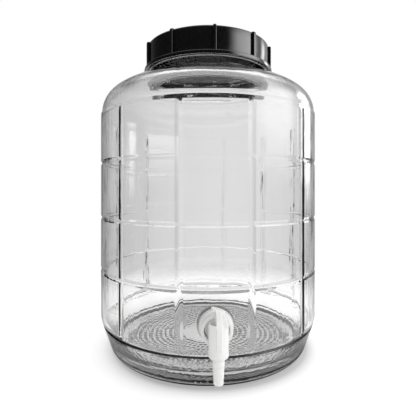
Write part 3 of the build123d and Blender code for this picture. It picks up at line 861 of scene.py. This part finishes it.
def washer_rubber():
    """Matt pale rubber."""
    material, look = new_look("washer_rubber")
    place = look.place()
    cloud = look.noise(place, 140.0, 4.0)
    grain = look.noise(place, 2200.0, 2.0)
    look.surface(look.node("BsdfPrincipled", sockets={
        "Base Color": look.tint(cloud, (0.70, 0.71, 0.71), (0.78, 0.79, 0.79)),
        "Roughness": 0.55 + grain * 0.2, "Normal": look.bump(grain, 0.00008)}))
    return material


def liner_foam():
    """Dark matt foam."""
    material, look = new_look("liner_foam")
    place = look.place()
    cells = look.noise(place, 1500.0, 3.0)
    look.surface(look.node("BsdfPrincipled", sockets={
        "Base Color": look.tint(cells, (0.045, 0.045, 0.047), (0.075, 0.075, 0.078)),
        "Roughness": 0.7 + cells * 0.2, "Normal": look.bump(cells, 0.0001)}))
    return material


# ------------------------------------------------------------------ studio
def make_world():
    """White to the camera. Mirrored rays meet a pale wall behind, a soft box on the right and light from
    above; rays through glass meet at least an even level all round."""
    wall_aside, wall_spread = 0.12, 0.62      # radians
    world = bpy.data.worlds.new("studio")
    scene.world = world
    look = Look(world)
    x, y, z = look.split(look.place("Generated"))
    aside = look.math("ARCTAN2", x, y)
    behind = look.math("EXPONENT", ((aside - wall_aside) * (1 / wall_spread)) ** 2 * -1.0)
    right = look.step(aside, 0.55, 0.95) * look.step(aside, 2.3, 1.7)
    above = look.step(z, 0.60, 0.85)
    level = 0.015 + behind * 0.80 + right * 0.36 + above * 0.8
    level = look.math("MINIMUM", level, 1.1)
    seen, diffuse, through = look.rays("Camera", "Diffuse", "Transmission")
    around = 0.62 * look.step(z, 0.75, 0.45)
    level = look.math("MAXIMUM", level, through * around)
    level = level * (1 - diffuse) + diffuse * (0.84 + x * 0.13)
    strength = seen + (1 - seen) * level
    look.surface(look.node("Background", sockets={"Color": (1, 1, 1, 1), "Strength": strength}))


def floor_white():
    """White with a painted contact shadow round the jar's foot, clear further out."""
    shadow_r, fade = 0.126, 95.0
    material, look = new_look("floor_white")
    x, y, z = look.split(look.place())
    radius = (x * x + y * y) ** 0.5
    away = look.math("MAXIMUM", radius - shadow_r - x * 0.03, 0.0)
    near = look.math("EXPONENT", away * -fade)
    # Painted shadow: a dark ring on the floor under the front of the foot, seen only through the glass.
    under = look.step(radius, 0.121, 0.123) * look.step(radius, 0.127, 0.125) * look.step(y, 0.02, -0.03)
    seen, through, glossy = look.rays("Camera", "Transmission", "Glossy")
    mirrored = glossy * (1 - through)
    # Painted shadow: the floor darkens near the foot for camera and mirrored rays, on top of the shadows the
    # lamps cast.
    shade = 1 - near * (seen * 0.44 + mirrored * 0.85) - through * under * 0.8
    matt = look.node("BsdfDiffuse", sockets={"Color": look.tint(shade, (0, 0, 0), (0.9, 0.9, 0.9))})
    matt = look.node("MixShader", sockets={0: seen * 0.3, 1: matt.outputs[0]})
    strength = (seen * 0.64 + through * 0.40) * shade
    glow = look.node("Emission", sockets={"Color": (1, 1, 1, 1), "Strength": strength})
    pale = look.node("AddShader", sockets={0: matt.outputs[0], 1: glow.outputs[0]})
    far = look.step(radius, 0.24, 0.50)
    open_air = look.node("BsdfTransparent")
    look.surface(look.node("MixShader", sockets={0: far, 1: pale.outputs[0], 2: open_air.outputs[0]}))
    return material


def make_floor():
    """A round white floor that keeps the jar's shadow, with a painted contact shadow round its foot."""
    reach, level, corners = 600, -0.3, 64     # mm
    turn = np.linspace(0, 2 * math.pi, corners, endpoint=False)
    points = [(reach * math.cos(a), reach * math.sin(a), level) for a in turn]
    floor = make_object("floor", points, [tuple(range(corners))])
    floor.data.materials.append(floor_white())


def make_lamp(name, place, aim, width, height, power):
    """A soft box whose light fades towards its edges."""
    data = bpy.data.lights.new(name, "AREA")
    data.shape, data.size, data.size_y, data.energy = "RECTANGLE", width, height, power
    look = Look(data)
    u, v, _ = look.split(look.node("NewGeometry").outputs["Parametric"])
    fade_u = look.step(u, 0.0, 0.35) * look.step(u, 1.0, 0.65)
    fade = fade_u * look.step(v, 0.0, 0.35) * look.step(v, 1.0, 0.65)
    look.surface(look.node("Emission", sockets={"Color": (1, 1, 1, 1), "Strength": fade * 1.8}))
    lamp = bpy.data.objects.new(name, data)
    lamp.location = place
    lamp.rotation_euler = (Vector(aim) - Vector(place)).to_track_quat("-Z", "Y").to_euler()
    scene.collection.objects.link(lamp)


# ------------------------------------------------------------------ putting it together
def dress(piece, body, slot, material, *nodes):
    """Gives a piece its finish and its body, and hides the nodes that it stands for."""
    piece.data.materials.clear()
    piece.data.materials.append(material)
    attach(piece, body)
    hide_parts(*nodes)


make_camera()
make_world()
make_floor()
make_lamp("key", (0.84, -0.38, 0.60), (0, 0, 0.25), 1.2, 0.9, 4.4)
make_lamp("edge", (0.92, 0.42, 0.50), (0, 0, 0.30), 0.30, 0.8, 1.7)

glass = clear_glass()
black = cap_plastic()
white = spigot_plastic()
rubber = washer_rubber()
foam = liner_foam()

dress(make_jar(), "jar", "clear_glass", glass, "glass_jar")
dress(make_cap(black), "cap", "black_plastic", black, "screw_cap")
dress(make_liner(), "liner", "liner_foam", foam, "cap_liner")
dress(make_cup(), "jar", "white_plastic", white, "spigot_body")
dress(make_washer(), "jar", "washer_rubber", rubber, "outer_washer")
dress(smooth_copy("inner_washer", "washer_inside"), "jar", "washer_rubber", rubber, "inner_washer")
dress(smooth_copy("lock_nut", "nut"), "jar", "white_plastic", white, "lock_nut")
dress(make_tap(), "tap", "white_plastic", white, "spigot_tap")

scene.view_settings.view_transform = "Standard"
